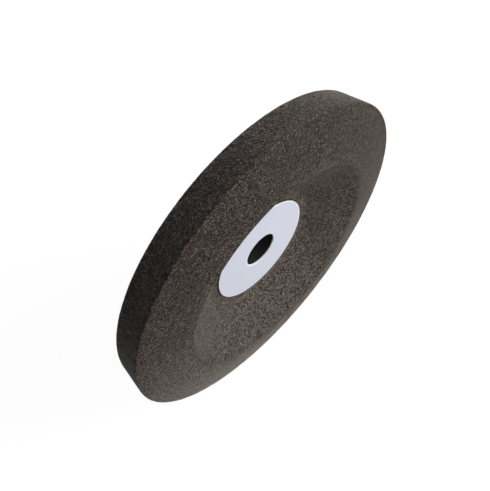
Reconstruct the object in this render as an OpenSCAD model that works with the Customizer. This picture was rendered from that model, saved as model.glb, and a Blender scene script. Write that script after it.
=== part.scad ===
// Dished grinding wheel for a lapidary bench: a thick diamond ring bonded round a moulded
// core, an arbor bush moulded in at its middle, and a paper blotter on each face.
// The wheel spins about Y and its dished front looks along -Y. The origin is the middle
// of the arbor bore. Sections are drawn as [radius, height above the back plane].

/* [Wheel] */
// Outer diameter, at the front edge of the rim before that edge is rounded
wheel_d = 152.4; // [140:0.1:180]
// Diameter at the back edge of the rim, which has a little moulding draft
back_d = 147.4; // [136:0.1:152]
// Height of the rim's front edge above the back plane
rim_h = 14; // [12:0.1:16]
// Height of the crest, which is the wheel's full thickness
crest_h = 19.05; // [17:0.05:22]
// Diameter of the crest, where the convex bevel meets the dish
crest_d = 101; // [90:0.5:110]
// How strongly the bevel bulges: 1 is a straight cone
bevel_bulge = 1.4; // [1:0.1:2]
// Rounding of the two rim edges
edge_round = 0.75; // [0.4:0.05:1.5]
// Rounding of the crest
crest_round = 0.6; // [0.4:0.1:1.5]

/* [Core] */
// Thickness of the core's flat web
web = 6.35; // [5:0.05:8]
// Diameter of the flat floor round the front blotter
floor_d = 58; // [54:0.5:64]
// Rounding between the floor and the dish wall
floor_round = 1.6; // [0.5:0.1:1.9]
// Outer diameter of the core's back flange, under the diamond ring
flange_d = 128; // [118:1:132]
// Thickness of that flange
flange_h = 7; // [5:0.1:9]

/* [Arbor] */
// Bore diameter, five eighths of an inch with sliding clearance
bore_d = 15.9; // [12.7:0.1:16]
// Outer diameter of the bush at the back face
bush_d = 24; // [22:0.5:28]
// Diameter of the bush's wider front end, which keeps it in the web
collar_d = 29; // [28.5:0.5:34]
// Thickness of that front end
collar_h = 3; // [2:0.1:4]

/* [Blotters] */
// Diameter of the front blotter
front_blotter_d = 50; // [40:0.5:50]
// Diameter of the rear blotter
rear_blotter_d = 60; // [40:0.5:80]
// Hole through both blotters
blotter_hole_d = 16.2; // [16:0.1:21]
// Thickness of the blotter paper
blotter_t = 0.6; // [0.4:0.05:1]

/* [Hidden] */
$fn = 128;
round_steps = 5;
bevel_steps = 14;
overcut = 1;

bond_grey = "#54504a";
core_grey = "#4f4b45";
black_resin = "#26241f";
blotter_paper = "#d1d3de";

wheel_r = wheel_d / 2;
back_r = back_d / 2;
crest_r = crest_d / 2;
floor_r = floor_d / 2;
flange_r = flange_d / 2;
bevel_start = crest_r + crest_round;
bevel_end = wheel_r - edge_round;

// Height of the convex bevel at a radius between the crest and the rim
function bevel_h(r) =
    crest_h - (crest_h - rim_h) * pow((r - crest_r) / (wheel_r - crest_r), bevel_bulge);

// Height of the straight dish wall at a radius between the floor and the crest
function dish_h(r) = web + (crest_h - web) * (r - floor_r) / (crest_r - floor_r);

// A point on the rim's drafted side, at a height above the back plane
function rim_point(h) = [back_r + (wheel_r - back_r) * h / rim_h, h];

// A curve from a to b that rounds off the corner c
function rounded(a, c, b) = [
    for (i = [0:round_steps])
        let (t = i / round_steps)
        (1 - t) * (1 - t) * a + 2 * t * (1 - t) * c + t * t * b
];

// The bevel's own points, between the rounded crest and the rounded rim edge
bevel_points = [
    for (i = [1:bevel_steps - 1])
        let (r = bevel_start + (bevel_end - bevel_start) * i / bevel_steps)
        [r, bevel_h(r)]
];

// The whole wheel's section, from the axis out, before it is parted into its pieces
module wheel_section() {
    floor_edge = [floor_r - floor_round, web];
    wall_foot = [floor_r + floor_round, dish_h(floor_r + floor_round)];
    wall_top = [crest_r - crest_round, dish_h(crest_r - crest_round)];
    polygon(concat(
        [[0, 0], [0, web]],
        rounded(floor_edge, [floor_r, web], wall_foot),
        rounded(wall_top, [crest_r, crest_h], [bevel_start, bevel_h(bevel_start)]),
        bevel_points,
        rounded([bevel_end, bevel_h(bevel_end)], [wheel_r, rim_h], rim_point(rim_h - edge_round)),
        rounded(rim_point(edge_round), [back_r, 0], [back_r - edge_round, 0])
    ));
}

// The part of the section inside the bonded joint, which is stepped at the back flange
module core_zone() {
    square([crest_r, crest_h + overcut]);
    square([flange_r, flange_h]);
}

// The bush's section with no bore: wider at the front, so that it can't pull out backwards
module bush_zone() {
    square([bush_d / 2, web]);
    translate([0, web - collar_h]) square([collar_d / 2, collar_h]);
}

// Turns a section into a body of revolution on the wheel's axis
module on_arbor() {
    translate([0, web / 2, 0]) rotate([90, 0, 0]) rotate_extrude() children();
}

// A paper disc with the arbor's hole, lying at a height above the back plane
module blotter(d, height) {
    on_arbor()
        translate([blotter_hole_d / 2, height])
            square([(d - blotter_hole_d) / 2, blotter_t]);
}

module diamond_ring() {
    color(bond_grey)
        on_arbor()
            difference() {
                wheel_section();
                core_zone();
            }
}

module wheel_core() {
    color(core_grey)
        on_arbor()
            difference() {
                intersection() {
                    wheel_section();
                    core_zone();
                }
                bush_zone();
            }
}

module arbor_bush() {
    color(black_resin)
        on_arbor()
            difference() {
                bush_zone();
                square([bore_d / 2, web]);
            }
}

module front_blotter() {
    color(blotter_paper) blotter(front_blotter_d, web);
}

module rear_blotter() {
    color(blotter_paper) blotter(rear_blotter_d, -blotter_t);
}

diamond_ring();
wheel_core();
arbor_bush();
front_blotter();
rear_blotter();
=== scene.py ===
import math

import bmesh
import bpy
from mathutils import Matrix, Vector


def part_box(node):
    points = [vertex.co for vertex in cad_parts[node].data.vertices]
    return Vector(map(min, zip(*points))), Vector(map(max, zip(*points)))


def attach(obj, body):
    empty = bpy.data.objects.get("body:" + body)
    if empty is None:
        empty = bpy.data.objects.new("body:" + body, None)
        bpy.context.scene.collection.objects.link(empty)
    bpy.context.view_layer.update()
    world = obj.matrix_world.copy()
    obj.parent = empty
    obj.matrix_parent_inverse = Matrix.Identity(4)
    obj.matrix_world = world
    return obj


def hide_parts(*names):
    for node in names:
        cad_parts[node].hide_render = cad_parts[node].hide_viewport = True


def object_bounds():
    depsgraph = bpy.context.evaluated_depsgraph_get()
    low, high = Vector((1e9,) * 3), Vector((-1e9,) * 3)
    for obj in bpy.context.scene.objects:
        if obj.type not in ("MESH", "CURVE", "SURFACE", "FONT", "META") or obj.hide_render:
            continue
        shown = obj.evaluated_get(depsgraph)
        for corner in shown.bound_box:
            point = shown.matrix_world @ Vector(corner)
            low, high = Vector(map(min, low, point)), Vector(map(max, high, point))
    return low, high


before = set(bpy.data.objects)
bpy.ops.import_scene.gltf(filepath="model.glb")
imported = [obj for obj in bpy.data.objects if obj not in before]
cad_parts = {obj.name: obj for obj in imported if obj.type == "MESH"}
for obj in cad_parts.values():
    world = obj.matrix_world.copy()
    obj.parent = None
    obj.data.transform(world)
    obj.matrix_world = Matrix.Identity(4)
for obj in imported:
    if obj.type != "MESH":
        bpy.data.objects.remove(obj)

cadLow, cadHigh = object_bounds()
scene = bpy.context.scene
mm = 0.001
fullTurn = 2 * math.pi
weld = 0.001 * mm        # points closer than this are one point
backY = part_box("wheel_core")[1].y
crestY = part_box("diamond_ring")[0].y
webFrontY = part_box("arbor_bush")[0].y
wheelDepth = backY - crestY
webDepth = backY - webFrontY
print("frame loaded:", sorted(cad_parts))


# Sections are closed runs of (radius, depth in front of the back plane), spun about Y.

def roundedCorner(a, corner, b, steps=4):
    # a soft curve from a to b in place of a sharp corner
    points = []
    for i in range(steps + 1):
        t = i / steps
        points.append(tuple((1 - t) ** 2 * a[k] + 2 * t * (1 - t) * corner[k] + t * t * b[k]
                            for k in (0, 1)))
    return points


def straight(a, b, cell):
    # evenly spaced points between a and b, without either end
    count = max(1, round(math.dist(a, b) / cell))
    return [tuple(a[k] + (b[k] - a[k]) * i / count for k in (0, 1)) for i in range(1, count)]


def curved(depthAt, startR, endR, cell):
    # points on a curve that gives depth at a radius, without either end
    count = max(2, round(abs(endR - startR) / cell))
    radii = [startR + (endR - startR) * i / count for i in range(1, count)]
    return [(r, depthAt(r)) for r in radii]


def spinSection(name, section, steps, wedges=1, sharpAngle=math.radians(40)):
    # one wedge is spun and then repeated round the axis, which is far quicker than one long spin
    bm = bmesh.new()
    corners = [bm.verts.new((r, backY - depth, 0)) for r, depth in section]
    loop = [bm.edges.new(pair) for pair in zip(corners, corners[1:] + corners[:1])]
    wedge = fullTurn / wedges
    bmesh.ops.spin(bm, geom=corners + loop, cent=(0, 0, 0), axis=(0, 1, 0),
                   angle=wedge, steps=steps, use_merge=wedges == 1)
    if wedges > 1:
        bmesh.ops.spin(bm, geom=bm.verts[:] + bm.edges[:] + bm.faces[:], cent=(0, 0, 0),
                       axis=(0, 1, 0), angle=fullTurn - wedge, steps=wedges - 1,
                       use_duplicate=True)
    bmesh.ops.remove_doubles(bm, verts=bm.verts, dist=weld)
    bmesh.ops.recalc_face_normals(bm, faces=bm.faces)
    for face in bm.faces:
        face.smooth = True
    for edge in bm.edges:
        edge.smooth = edge.calc_face_angle(0) < sharpAngle
    mesh = bpy.data.meshes.new(name)
    bm.to_mesh(mesh)
    bm.free()
    piece = bpy.data.objects.new(name, mesh)
    scene.collection.objects.link(piece)
    return piece


def openSurface(piece, isOpen):
    # a vertex group of the surface that shows, where the grit may stand proud
    group = piece.vertex_groups.new(name="open")
    shown = [v.index for v in piece.data.vertices
             if isOpen(math.hypot(v.co.x, v.co.z), backY - v.co.y)]
    group.add(shown, 1.0, "REPLACE")


def standGrit(piece, label, kind, size, height):
    # real relief from a procedural texture, half of it proud of the surface and half sunk in
    texture = bpy.data.textures.new(piece.name + "_" + label, kind)
    texture.noise_scale = size
    layer = piece.modifiers.new(label, "DISPLACE")
    layer.texture = texture
    layer.texture_coords = "LOCAL"
    layer.vertex_group = "open"
    layer.strength = height
    layer.mid_level = 0.5


# Shader node groups, built once and placed in each material with its own values

noiseLow = 0.3           # most of a noise texture's values lie between these two
noiseHigh = 0.7


def newGroup(name, inputs, outputs):
    tree = bpy.data.node_groups.new(name, "ShaderNodeTree")
    for label, kind, value in inputs:
        socket = tree.interface.new_socket(name=label, in_out="INPUT", socket_type=kind)
        socket.default_value = value
    for label, kind in outputs:
        tree.interface.new_socket(name=label, in_out="OUTPUT", socket_type=kind)
    start = tree.nodes.new("NodeGroupInput")
    end = tree.nodes.new("NodeGroupOutput")
    return tree, start.outputs, end.inputs


def mathNode(tree, operation, a, b=0.0, clamp=False):
    node = tree.nodes.new("ShaderNodeMath")
    node.operation = operation
    node.use_clamp = clamp
    for slot, value in ((0, a), (1, b)):
        if isinstance(value, (int, float)):
            node.inputs[slot].default_value = value
        else:
            tree.links.new(value, node.inputs[slot])
    return node.outputs[0]


def mixColour(tree, share, a, b):
    node = tree.nodes.new("ShaderNodeMix")
    node.data_type = "RGBA"
    for slot, value in ((0, share), (6, a), (7, b)):
        if isinstance(value, (int, float, tuple)):
            node.inputs[slot].default_value = value
        else:
            tree.links.new(value, node.inputs[slot])
    return node.outputs[2]


def spread(tree, value, low, high, toLow=0.0, toHigh=1.0):
    node = tree.nodes.new("ShaderNodeMapRange")
    tree.links.new(value, node.inputs["Value"])
    for label, amount in (("From Min", low), ("From Max", high),
                          ("To Min", toLow), ("To Max", toHigh)):
        node.inputs[label].default_value = amount
    return node.outputs["Result"]


def noise(tree, where, scale, detail=2.0, rough=0.5):
    node = tree.nodes.new("ShaderNodeTexNoise")
    tree.links.new(where, node.inputs["Vector"])
    node.inputs["Scale"].default_value = scale
    node.inputs["Detail"].default_value = detail
    node.inputs["Roughness"].default_value = rough
    return node.outputs["Fac"]


def cells(tree, where, scale):
    node = tree.nodes.new("ShaderNodeTexVoronoi")
    tree.links.new(where, node.inputs["Vector"])
    tree.links.new(scale, node.inputs["Scale"])
    return node


def splitColour(tree, colour):
    node = tree.nodes.new("ShaderNodeSeparateColor")
    tree.links.new(colour, node.inputs[0])
    return node.outputs[0], node.outputs[1], node.outputs[2]


def objectPlace(tree):
    return tree.nodes.new("ShaderNodeTexCoord").outputs["Object"]


def placeParts(tree, where):
    # the distance from the wheel's axis, and the place along it
    parts = tree.nodes.new("ShaderNodeSeparateXYZ")
    tree.links.new(where, parts.inputs[0])
    squares = [mathNode(tree, "POWER", parts.outputs[k], 2.0) for k in ("X", "Z")]
    return mathNode(tree, "SQRT", mathNode(tree, "ADD", *squares)), parts.outputs["Y"]


gritPattern = {
    "smallScale": 1.7,               # how many small grains there are to one coarse grain's length
    "clumpScale": 0.5,               # the same for the clumps
    "coarseShare": 0.62,             # how much each size counts in the tone
    "smallShare": 0.28,
    "clumpShare": 0.1,
    "tone": (0.43, 0.58),            # dark below the first value, light above the second
    "rust": (0.4, 0.8),              # the same for plain and rusty
    "poreShade": 0.8,
    "cloud": {"scale": 55.0, "detail": 3.0, "rough": 0.55},
    "cloudTint": (0.92, 1.08),
    "rough": (0.45, 0.8),
    "smallRelief": 0.35,
    "poreRelief": 0.6,
}


def buildGritGroup():
    # packed grains in three sizes: each has its own tone, a few are pale flecks or dark pores
    tree, given, made = newGroup(
        "gritMix",
        [("Grains per Metre", "NodeSocketFloat", 1000.0),
         ("Dark", "NodeSocketColor", (0.01, 0.008, 0.007, 1)),
         ("Light", "NodeSocketColor", (0.05, 0.042, 0.036, 1)),
         ("Rusty", "NodeSocketColor", (0.056, 0.038, 0.03, 1)),
         ("Fleck", "NodeSocketColor", (0.1, 0.085, 0.07, 1)),
         ("Fleck Share", "NodeSocketFloat", 0.08),
         ("Pore Share", "NodeSocketFloat", 0.08)],
        [("Colour", "NodeSocketColor"),
         ("Roughness", "NodeSocketFloat"),
         ("Height", "NodeSocketFloat")])
    where = objectPlace(tree)
    scale = given["Grains per Metre"]
    coarse = cells(tree, where, scale)
    small = cells(tree, where, mathNode(tree, "MULTIPLY", scale, gritPattern["smallScale"]))
    clump = cells(tree, where, mathNode(tree, "MULTIPLY", scale, gritPattern["clumpScale"]))
    coarseTone, pick, porePick = splitColour(tree, coarse.outputs["Color"])
    smallTone, fleckPick, rust = splitColour(tree, small.outputs["Color"])
    clumpTone = splitColour(tree, clump.outputs["Color"])[0]
    tone = mathNode(tree, "ADD",
                    mathNode(tree, "MULTIPLY", coarseTone, gritPattern["coarseShare"]),
                    mathNode(tree, "MULTIPLY", smallTone, gritPattern["smallShare"]))
    tone = mathNode(tree, "ADD", tone,
                    mathNode(tree, "MULTIPLY", clumpTone, gritPattern["clumpShare"]))
    light = mixColour(tree, spread(tree, rust, *gritPattern["rust"]),
                      given["Light"], given["Rusty"])
    colour = mixColour(tree, spread(tree, tone, *gritPattern["tone"]), given["Dark"], light)
    pale = mathNode(tree, "GREATER_THAN", fleckPick,
                    mathNode(tree, "SUBTRACT", 1.0, given["Fleck Share"]))
    colour = mixColour(tree, pale, colour, given["Fleck"])
    pore = mathNode(tree, "LESS_THAN", porePick, given["Pore Share"])
    poreMask = mathNode(tree, "MULTIPLY", pore, gritPattern["poreShade"])
    colour = mixColour(tree, poreMask, colour, given["Dark"])
    cloud = noise(tree, where, **gritPattern["cloud"])
    tint = tree.nodes.new("ShaderNodeVectorMath")
    tint.operation = "SCALE"
    tree.links.new(colour, tint.inputs[0])
    tree.links.new(spread(tree, cloud, noiseLow, noiseHigh, *gritPattern["cloudTint"]),
                   tint.inputs["Scale"])
    tree.links.new(tint.outputs[0], made["Colour"])
    tree.links.new(spread(tree, pick, 0, 1, *gritPattern["rough"]), made["Roughness"])
    dome = mathNode(tree, "SUBTRACT", 1.0, coarse.outputs["Distance"])
    height = mathNode(tree, "ADD", mathNode(tree, "MULTIPLY", dome, pick),
                      mathNode(tree, "MULTIPLY", smallTone, gritPattern["smallRelief"]))
    height = mathNode(tree, "SUBTRACT", height,
                      mathNode(tree, "MULTIPLY", pore, gritPattern["poreRelief"]))
    tree.links.new(height, made["Height"])
    return tree


bandNoise = {
    "scale": 900.0,
    "span": (0.35, 0.65),
}


def buildBandGroup():
    # a soft band round the axis at one radius, broken up by noise: worn edges, cut margins, and a
    # painted shadow ring
    tree, given, made = newGroup(
        "ringBand",
        [("Radius", "NodeSocketFloat", 0.05),
         ("Half Width", "NodeSocketFloat", 0.001),
         ("Softness", "NodeSocketFloat", 0.0005),
         ("Breakup", "NodeSocketFloat", 0.3)],
        [("Mask", "NodeSocketFloat")])
    where = objectPlace(tree)
    radius = placeParts(tree, where)[0]
    offset = mathNode(tree, "ABSOLUTE", mathNode(tree, "SUBTRACT", radius, given["Radius"]))
    past = mathNode(tree, "SUBTRACT", offset, given["Half Width"])
    fade = mathNode(tree, "DIVIDE", past, given["Softness"])
    band = mathNode(tree, "SUBTRACT", 1.0, fade, clamp=True)
    rag = spread(tree, noise(tree, where, bandNoise["scale"]), *bandNoise["span"])
    keep = mathNode(tree, "SUBTRACT", 1.0, mathNode(tree, "MULTIPLY", rag, given["Breakup"]))
    tree.links.new(mathNode(tree, "MULTIPLY", band, keep), made["Mask"])
    return tree


gritGroup = buildGritGroup()
bandGroup = buildBandGroup()


def newMaterial(name):
    material = bpy.data.materials.new(name)
    material.use_nodes = True
    return material, material.node_tree, material.node_tree.nodes["Principled BSDF"]


def placeGroup(tree, group, values):
    node = tree.nodes.new("ShaderNodeGroup")
    node.node_tree = group
    for label, value in values.items():
        node.inputs[label].default_value = value
    return node.outputs


def bumpFrom(tree, height, depth, strength):
    node = tree.nodes.new("ShaderNodeBump")
    node.inputs["Strength"].default_value = strength
    node.inputs["Distance"].default_value = depth
    tree.links.new(height, node.inputs["Height"])
    return node.outputs[0]


dustTint = (1, 0.9, 0.8, 1)


def gritMaterial(name, look):
    material, tree, surface = newMaterial(name)
    grit = placeGroup(tree, gritGroup, look["grit"])
    colour = grit["Colour"]
    for band in look["worn"]:
        mask = placeGroup(tree, bandGroup, band)["Mask"]
        colour = mixColour(tree, mathNode(tree, "MULTIPLY", mask, look["wornShare"]),
                           colour, look["grit"]["Fleck"])
    # painted shade: bands mixed towards the dark grain colour
    for band in look["shadeBands"]:
        mask = placeGroup(tree, bandGroup, band)["Mask"]
        colour = mixColour(tree, mask, colour, look["grit"]["Dark"])
    tree.links.new(colour, surface.inputs["Base Color"])
    tree.links.new(grit["Roughness"], surface.inputs["Roughness"])
    bump = bumpFrom(tree, grit["Height"], look["bumpDepth"], look["bumpStrength"])
    tree.links.new(bump, surface.inputs["Normal"])
    surface.inputs["Specular IOR Level"].default_value = look["gloss"]
    surface.inputs["Sheen Weight"].default_value = look["dust"]
    surface.inputs["Sheen Roughness"].default_value = look["dustSpread"]
    surface.inputs["Sheen Tint"].default_value = dustTint
    return material


def dress(piece, material, node):
    piece.data.materials.append(material)
    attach(piece, "root")
    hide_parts(node)
    print("made", piece.name, len(piece.data.polygons), "faces")


# Diamond ring: drafted rim, convex bevel, rounded edges, back land beside the core

ring = {
    "outerR": 76.2 * mm,
    "backR": 73.7 * mm,
    "rimDepth": 14 * mm,
    "crestR": 50.5 * mm,
    "bulge": 1.4,                    # 1 would be a straight cone
    "edgeRound": 0.75 * mm,
    "crestRound": 0.6 * mm,
    "flangeDepth": 7 * mm,
    "seam": 0.15 * mm,               # bevel on both sides of the joint at the back
    "cell": 0.52 * mm,
    "steps": 43,                     # round one wedge
    "wedges": 20,
    "gritSize": 1.2 * mm,
    "gritHeight": 0.13 * mm,
    "waveSize": 7 * mm,
    "waveHeight": 0.08 * mm,
    "smoothEdge": 1 * mm,            # left free of grit beside the joints
    "crestSmooth": 0.3 * mm,
    "crestSteps": 6,
}
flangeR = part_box("wheel_core")[1].x


def bevelDepth(r):
    share = max(0.0, (r - ring["crestR"]) / (ring["outerR"] - ring["crestR"]))
    return wheelDepth - (wheelDepth - ring["rimDepth"]) * share ** ring["bulge"]


def rimPoint(depth):
    return (ring["backR"] + (ring["outerR"] - ring["backR"]) * depth / ring["rimDepth"], depth)


core = {
    "floorR": 29 * mm,
    "floorRound": 1.6 * mm,
    "cell": 0.52 * mm,
    "steps": 35,
    "wedges": 20,
    "backCell": 0.676 * mm,
    "gritSize": 1.1 * mm,
    "gritHeight": 0.09 * mm,
    "tuck": 1 * mm,                  # how far the fine mesh runs in under a blotter
}


def dishDepth(r):
    share = (r - core["floorR"]) / (ring["crestR"] - core["floorR"])
    return webDepth + (wheelDepth - webDepth) * share


def crestCurve():
    # the rounded crest from the dish to the bevel, parted at the joint's radius
    inner = ring["crestR"] - ring["crestRound"]
    outer = ring["crestR"] + ring["crestRound"]
    curve = roundedCorner((inner, dishDepth(inner)), (ring["crestR"], wheelDepth),
                          (outer, bevelDepth(outer)), ring["crestSteps"])
    inside = [p for p in curve if p[0] < ring["crestR"] - weld]
    outside = [p for p in curve if p[0] > ring["crestR"] + weld]
    before, after = inside[-1], outside[0]
    share = (ring["crestR"] - before[0]) / (after[0] - before[0])
    seam = (ring["crestR"], before[1] + (after[1] - before[1]) * share)
    return inside, seam, outside


def makeRing():
    cell = ring["cell"]
    edge = ring["edgeRound"]
    inside, seam, outside = crestCurve()
    bevelEnd = (ring["outerR"] - edge, bevelDepth(ring["outerR"] - edge))
    rimTop = rimPoint(ring["rimDepth"] - edge)
    rimFoot = rimPoint(edge)
    backEdge = (ring["backR"] - edge, 0)
    backSeam = (flangeR + ring["seam"], 0)
    section = [seam]
    section += outside
    section += curved(bevelDepth, outside[-1][0], bevelEnd[0], cell)
    section += roundedCorner(bevelEnd, (ring["outerR"], ring["rimDepth"]), rimTop)
    section += straight(rimTop, rimFoot, cell)
    section += roundedCorner(rimFoot, (ring["backR"], 0), backEdge)
    section += straight(backEdge, backSeam, cell)
    section += [backSeam, (flangeR, ring["seam"]), (flangeR, ring["flangeDepth"]),
                (ring["crestR"], ring["flangeDepth"])]
    piece = spinSection("gritRing", section, ring["steps"], ring["wedges"])
    openSurface(piece, lambda r, depth: r > flangeR + ring["smoothEdge"]
                or (r > ring["crestR"] + ring["crestSmooth"]
                    and depth > ring["flangeDepth"] + ring["smoothEdge"]))
    standGrit(piece, "wave", "CLOUDS", ring["waveSize"], ring["waveHeight"])
    standGrit(piece, "grit", "VORONOI", ring["gritSize"], ring["gritHeight"])
    return piece


ringLook = {
    "grit": {"Grains per Metre": 1500.0,
             "Dark": (0.003, 0.0022, 0.0016, 1),
             "Light": (0.051, 0.04, 0.0305, 1),
             "Rusty": (0.059, 0.0385, 0.029, 1),
             "Fleck": (0.26, 0.205, 0.162, 1),
             "Fleck Share": 0.11,
             "Pore Share": 0.1},
    "worn": [{"Radius": ring["outerR"], "Half Width": 0.5 * mm,
              "Softness": 0.8 * mm, "Breakup": 0.8},
             {"Radius": ring["crestR"], "Half Width": 0.1 * mm,
              "Softness": 0.4 * mm, "Breakup": 0.8}],
    "wornShare": 0.07,
    "shadeBands": [],
    "bumpDepth": 0.42 * mm,
    "bumpStrength": 1.0,
    "gloss": 0.35,
    "dust": 1.0,
    "dustSpread": 0.2,
}
ringPiece = makeRing()
dress(ringPiece, gritMaterial("diamondBond", ringLook), "diamond_ring")


# Core: flat floor, dish wall up to the crest, back flange under the ring

def makeCore():
    cell = core["cell"]
    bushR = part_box("arbor_bush")[1].x
    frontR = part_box("front_blotter")[1].x
    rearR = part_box("rear_blotter")[1].x
    inside, seam = crestCurve()[:2]
    floorEnd = (core["floorR"] - core["floorRound"], webDepth)
    footR = core["floorR"] + core["floorRound"]
    wallFoot = (footR, dishDepth(footR))
    underFront = (frontR - core["tuck"], webDepth)
    underRear = (rearR - core["tuck"], 0)
    backSeam = (flangeR - ring["seam"], 0)
    section = [(bushR, 0), (bushR, webDepth), underFront]
    section += straight(underFront, floorEnd, cell)
    section += roundedCorner(floorEnd, (core["floorR"], webDepth), wallFoot)
    section += straight(wallFoot, inside[0], cell)
    section += inside
    section += [seam, (ring["crestR"], ring["flangeDepth"]), (flangeR, ring["flangeDepth"]),
                (flangeR, ring["seam"]), backSeam]
    section += straight(backSeam, underRear, core["backCell"])
    section += [underRear]
    piece = spinSection("dishCore", section, core["steps"], core["wedges"])
    openSurface(piece, lambda r, depth:
                (depth > webDepth - weld and frontR < r < ring["crestR"] - ring["crestSmooth"])
                or (depth < weld and rearR < r < flangeR - ring["smoothEdge"]))
    standGrit(piece, "grit", "VORONOI", core["gritSize"], core["gritHeight"])
    return piece


coreLook = {
    "grit": {"Grains per Metre": 2150.0,
             "Dark": (0.007, 0.0055, 0.0043, 1),
             "Light": (0.177, 0.148, 0.125, 1),
             "Rusty": (0.195, 0.145, 0.119, 1),
             "Fleck": (0.48, 0.4, 0.34, 1),
             "Fleck Share": 0.09,
             "Pore Share": 0.09},
    "worn": [{"Radius": ring["crestR"], "Half Width": 0.1 * mm,
              "Softness": 0.4 * mm, "Breakup": 0.8}],
    "wornShare": 0.07,
    # painted shadow: a dark ring just outside the front blotter's edge, in place of the shade
    # along its rim
    "shadeBands": [{"Radius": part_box("front_blotter")[1].x + 0.1 * mm, "Half Width": 0.2 * mm,
                 "Softness": 0.3 * mm, "Breakup": 0.4}],
    "bumpDepth": 0.45 * mm,
    "bumpStrength": 1.0,
    "gloss": 0.35,
    "dust": 0.2,
    "dustSpread": 0.2,
}
corePiece = makeCore()
dress(corePiece, gritMaterial("coreFiller", coreLook), "wheel_core")


# Arbor bush: a dark granular moulding with chamfered mouths

bush = {
    "boreR": 7.95 * mm,
    "chamfer": 0.35 * mm,
    "collarDepth": 3 * mm,
    "backR": 12 * mm,
    "cell": 0.4 * mm,
    "steps": 192,
}


def makeBush():
    boreR, chamfer = bush["boreR"], bush["chamfer"]
    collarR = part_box("arbor_bush")[1].x
    shoulder = webDepth - bush["collarDepth"]
    wall = [(boreR, chamfer), (boreR, webDepth - chamfer)]
    section = [(bush["backR"], 0), (boreR + chamfer, 0), wall[0]]
    section += straight(wall[0], wall[1], bush["cell"])
    section += [wall[1], (boreR + chamfer, webDepth), (collarR, webDepth), (collarR, shoulder),
                (bush["backR"], shoulder)]
    return spinSection("arborSleeve", section, bush["steps"])


bushLook = {
    "grit": {"Grains per Metre": 1900.0,
             "Dark": (0.0035, 0.003, 0.0024, 1),
             "Light": (0.013, 0.0115, 0.0095, 1),
             "Rusty": (0.014, 0.0115, 0.009, 1),
             "Fleck": (0.03, 0.027, 0.023, 1),
             "Fleck Share": 0.05,
             "Pore Share": 0.1},
    "worn": [],
    "wornShare": 0.0,
    "shadeBands": [],
    "bumpDepth": 0.12 * mm,
    "bumpStrength": 0.4,
    "gloss": 0.3,
    "dust": 0.0,
    "dustSpread": 0.2,
}
bushPiece = makeBush()
dress(bushPiece, gritMaterial("bushResin", bushLook), "arbor_bush")


# Blotters: flat discs of soft paper with slightly rounded edges

paper = {
    "holeR": 8.1 * mm,
    "edgeRound": 0.18 * mm,
    "cell": 1.2 * mm,
    "steps": 240,
    "sharpAngle": math.radians(80),
    "tone": (0.8, 0.82, 0.935, 1),
    "shade": (0.74, 0.76, 0.885, 1),
    "margin": (0.97, 0.97, 0.97, 1),
    # painted shade for the discs' outer sides
    "side": (0.012, 0.01, 0.008, 1),
    "sideFrom": 20 * mm,
    "faceDepth": 0.2 * mm,
    "marginWidth": 0.55 * mm,
    "marginSoftness": 0.15 * mm,
    "fibre": {"scale": 2600.0, "detail": 4.0, "rough": 0.7},
    "mottle": {"scale": 160.0, "detail": 3.0, "rough": 0.5},
    "fibreFrom": 0.35,
    "fibreShare": 0.1,
    "mottleShare": 0.12,
    "rough": (0.78, 0.92),
    "bumpDepth": 0.05 * mm,
    "bumpStrength": 0.5,
    "gloss": 0.3,
}


def makeBlotter(name, node):
    low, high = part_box(node)
    outerR = high.x
    near, far = backY - low.y, backY - high.y
    edge, holeR = paper["edgeRound"], paper["holeR"]
    section = roundedCorner((holeR, near - edge), (holeR, near), (holeR + edge, near))
    section += straight((holeR + edge, near), (outerR - edge, near), paper["cell"])
    section += roundedCorner((outerR - edge, near), (outerR, near), (outerR, near - edge))
    section += roundedCorner((outerR, far + edge), (outerR, far), (outerR - edge, far))
    section += straight((outerR - edge, far), (holeR + edge, far), paper["cell"])
    section += roundedCorner((holeR + edge, far), (holeR, far), (holeR, far + edge))
    return spinSection(name, section, paper["steps"], sharpAngle=paper["sharpAngle"]), outerR


def paintedSideShade(tree, where):
    # painted shade: the outer side of either disc, just below its face, is coloured near black
    radius, along = placeParts(tree, where)
    faceY = cadHigh.y - paper["faceDepth"]
    below = mathNode(tree, "LESS_THAN", mathNode(tree, "ABSOLUTE", along), faceY)
    outside = mathNode(tree, "GREATER_THAN", radius, paper["sideFrom"])
    return mathNode(tree, "MULTIPLY", below, outside)


def paperMaterial(name, outerR):
    material, tree, surface = newMaterial(name)
    where = objectPlace(tree)
    fibre = noise(tree, where, **paper["fibre"])
    mottle = noise(tree, where, **paper["mottle"])
    shaded = spread(tree, mottle, noiseLow, noiseHigh, 0.0, paper["mottleShare"])
    tone = mixColour(tree, shaded, paper["tone"], paper["shade"])
    pale = spread(tree, fibre, paper["fibreFrom"], noiseHigh, 0.0, paper["fibreShare"])
    tone = mixColour(tree, pale, tone, paper["margin"])
    for radius in (outerR, paper["holeR"]):
        band = placeGroup(tree, bandGroup, {"Radius": radius,
                                            "Half Width": paper["marginWidth"],
                                            "Softness": paper["marginSoftness"],
                                            "Breakup": 0.0})
        tone = mixColour(tree, band["Mask"], tone, paper["margin"])
    # painted shade on the outer side of each disc, below its face
    tone = mixColour(tree, paintedSideShade(tree, where), tone, paper["side"])
    tree.links.new(tone, surface.inputs["Base Color"])
    tree.links.new(spread(tree, fibre, noiseLow, noiseHigh, *paper["rough"]),
                   surface.inputs["Roughness"])
    tree.links.new(bumpFrom(tree, fibre, paper["bumpDepth"], paper["bumpStrength"]),
                   surface.inputs["Normal"])
    surface.inputs["Specular IOR Level"].default_value = paper["gloss"]
    return material


for name, node, slot in (("frontPaper", "front_blotter", "front_paper"),
                         ("rearPaper", "rear_blotter", "rear_paper")):
    disc, discR = makeBlotter(name, node)
    dress(disc, paperMaterial(name + "Stock", discR), node)


# Camera, floor and soft studio light

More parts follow.
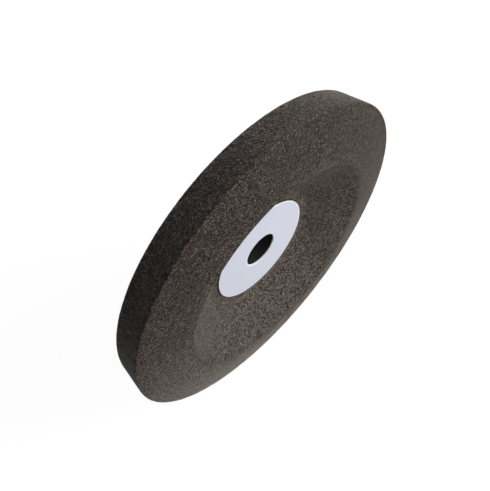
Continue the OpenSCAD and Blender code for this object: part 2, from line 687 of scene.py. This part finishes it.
camera = {
    "azimuth": -46.12,
    "elevation": 53.01,
    "distance": 0.334,
    "aim": (0.0094, 0.0171, 0.0136),
    "lens": 57.4,
    "shift": (0.0092, -0.1124),
    "clip": (0.01, 20),
}


def fromAngles(azimuth, elevation):
    turn, tilt = math.radians(azimuth), math.radians(elevation)
    return Vector((math.sin(turn) * math.cos(tilt),
                   -math.cos(turn) * math.cos(tilt),
                   math.sin(tilt)))


def setCamera():
    data = bpy.data.cameras.new("view")
    data.lens = camera["lens"]
    data.shift_x, data.shift_y = camera["shift"]
    data.clip_start, data.clip_end = camera["clip"]
    back = fromAngles(camera["azimuth"], camera["elevation"])
    eye = bpy.data.objects.new("view", data)
    eye.location = Vector(camera["aim"]) + back * camera["distance"]
    eye.rotation_mode = "QUATERNION"
    eye.rotation_quaternion = (-back).to_track_quat("-Z", "Y")
    scene.collection.objects.link(eye)
    scene.camera = eye


studio = {
    "floorSize": 12,
    "floorGap": 0.1 * mm,
    "floorColour": (0.11, 0.11, 0.11, 1),
    "floorRough": 0.9,
    "floorGlow": 0.95,               # seen by the camera only, so it lights nothing
    "worldSeen": 0.98,
    "worldLight": 0.02,
}


def setFloor():
    bm = bmesh.new()
    bmesh.ops.create_grid(bm, x_segments=1, y_segments=1, size=studio["floorSize"])
    bmesh.ops.translate(bm, verts=bm.verts, vec=(0, 0, cadLow.z - studio["floorGap"]))
    mesh = bpy.data.meshes.new("floor")
    bm.to_mesh(mesh)
    bm.free()
    floor = bpy.data.objects.new("floor", mesh)
    scene.collection.objects.link(floor)
    material, tree, surface = newMaterial("paleFloor")
    surface.inputs["Base Color"].default_value = studio["floorColour"]
    surface.inputs["Roughness"].default_value = studio["floorRough"]
    glow = tree.nodes.new("ShaderNodeEmission")
    glow.inputs["Strength"].default_value = studio["floorGlow"]
    both = tree.nodes.new("ShaderNodeAddShader")
    path = tree.nodes.new("ShaderNodeLightPath")
    switch = tree.nodes.new("ShaderNodeMixShader")
    end = tree.nodes["Material Output"]
    tree.links.new(glow.outputs[0], both.inputs[0])
    tree.links.new(surface.outputs[0], both.inputs[1])
    tree.links.new(path.outputs["Is Camera Ray"], switch.inputs[0])
    tree.links.new(surface.outputs[0], switch.inputs[1])
    tree.links.new(both.outputs[0], switch.inputs[2])
    tree.links.new(switch.outputs[0], end.inputs["Surface"])
    mesh.materials.append(material)


lamps = {
    "key": {"from": (44, 42), "power": 3.6},
    "right": {"from": (44, 20), "power": 4.4},
    "front": {"from": (-1, 0), "power": 2.1},
    "behind": {"from": (150, 12), "power": 1.1},
    "back": {"from": (180, 0), "power": 2.4},
    "leftHigh": {"from": (-136, 40), "power": 0.85},
    "leftLow": {"from": (-112, 12), "power": 0.35},
}
lampSize = 0.5
lampAway = 0.9           # from the middle of the bore


def setLamps():
    for name, lamp in lamps.items():
        data = bpy.data.lights.new(name, "AREA")
        data.shape = "DISK"
        data.size = lampSize
        data.energy = lamp["power"]
        direction = fromAngles(*lamp["from"])
        light = bpy.data.objects.new(name, data)
        light.location = direction * lampAway
        light.rotation_mode = "QUATERNION"
        light.rotation_quaternion = direction.to_track_quat("Z", "Y")
        light.visible_camera = False
        scene.collection.objects.link(light)


def setWorld():
    # white to look at, but almost no light of its own
    world = bpy.data.worlds.new("studio")
    scene.world = world
    world.use_nodes = True
    tree = world.node_tree
    sky = tree.nodes["Background"]
    sky.inputs["Color"].default_value = (1, 1, 1, 1)
    path = tree.nodes.new("ShaderNodeLightPath")
    strength = spread(tree, path.outputs["Is Camera Ray"], 0, 1,
                      studio["worldLight"], studio["worldSeen"])
    tree.links.new(strength, sky.inputs["Strength"])


setCamera()
setFloor()
setLamps()
setWorld()
scene.view_settings.view_transform = "Standard"
print("studio set")
